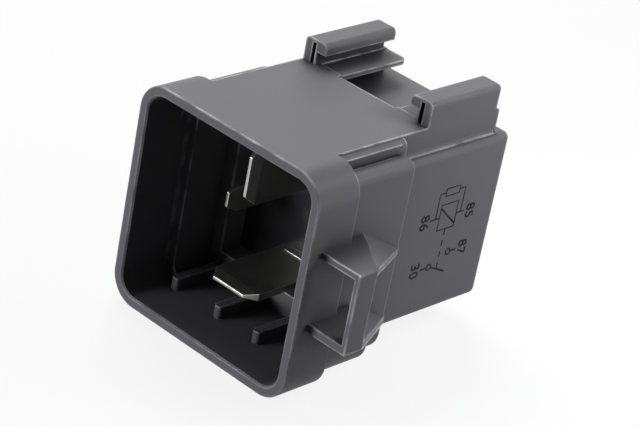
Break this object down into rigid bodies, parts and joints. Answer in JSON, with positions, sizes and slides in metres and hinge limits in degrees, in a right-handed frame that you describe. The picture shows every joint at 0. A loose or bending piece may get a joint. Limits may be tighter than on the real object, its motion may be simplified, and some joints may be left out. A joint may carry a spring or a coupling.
{
  "type": "automotive relay",
  "caption": "Normally open plug-in relay in a skirted plastic housing with blade terminals, bracket rails, a latch bridge and a hinged armature.",
  "frame": {"origin": "centre of the flat underside of the skirt around the plug mouth", "axes": "+Z towards the bracket rails, +Y from the plug mouth to the closed back, +X to the side with the latch bridge"},
  "size_m": [0.03, 0.0312, 0.0273],
  "materials": {
    "housing_plastic": "fine satin moulded surface",
    "base_plastic": "moulded",
    "sealing_resin": "cast, slightly glossy",
    "tinned_brass": "bright tin plating",
    "plated_iron": "nickel plated",
    "bobbin_plastic": "moulded",
    "copper_wire": "enamelled winding wire",
    "spring_bronze": "rolled spring strip",
    "rivet_steel": "zinc plated",
    "silver_contact": "polished silver alloy",
    "resistor_ceramic": "lacquered",
    "tinned_wire": "tinned"
  },
  "bodies": {
    "case": {"housing": "housing_plastic", "base_plate": "base_plastic", "sealing_compound": "sealing_resin", "terminal_30": "tinned_brass", "terminal_87": "tinned_brass", "terminal_86": "tinned_brass", "terminal_85": "tinned_brass", "yoke": "plated_iron", "core": "plated_iron", "bobbin": "bobbin_plastic", "coil_winding": "copper_wire", "coil_lead_wires": "copper_wire", "spring_rivets": "rivet_steel", "fixed_contact": "silver_contact", "rest_stop": "rivet_steel", "suppression_resistor": "resistor_ceramic", "resistor_leads": "tinned_wire"},
    "armature_group": {"armature": "plated_iron", "armature_rivets": "rivet_steel", "moving_contact": "silver_contact", "contact_spring": "spring_bronze"}
  },
  "joints": [
    {"name": "armature_pivot", "type": "hinge", "parent": "case", "child": "armature_group", "pos_m": [0, 0.02402, 0.0194], "axis": [-1, 0, 0], "range_deg": [0, 3], "stiffness_Nm_per_rad": 0.004, "springref_deg": -28.65, "deforming": ["contact_spring"]}
  ]
}
